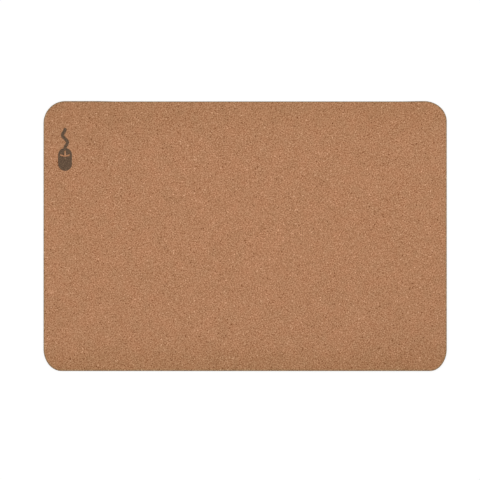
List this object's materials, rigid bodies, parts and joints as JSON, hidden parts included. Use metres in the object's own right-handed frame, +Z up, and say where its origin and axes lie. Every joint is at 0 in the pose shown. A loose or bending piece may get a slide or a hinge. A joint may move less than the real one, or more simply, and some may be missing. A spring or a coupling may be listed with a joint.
{
  "type": "mouse pad",
  "caption": "Thin rectangular mouse pad with rounded corners, a fine cork face laminated to a dark foam rubber base, and a small printed pictogram in one corner.",
  "frame": {"origin": "centre of the flat underside, where the pad rests on the desk", "axes": "+X along the length to the user's right, +Y away from the user towards the edge by the printed mark, +Z up out of the cork face"},
  "size_m": [0.3, 0.2008, 0.0031],
  "materials": {
    "foam_rubber": "matte",
    "bonding_film": "satin",
    "cork": "matte",
    "dark_ink": "matte"
  },
  "bodies": {
    "root": {"rubber_base": "foam_rubber", "adhesive_film": "bonding_film", "cork_sheet": "cork", "printed_mark": "dark_ink"}
  },
  "joints": []
}
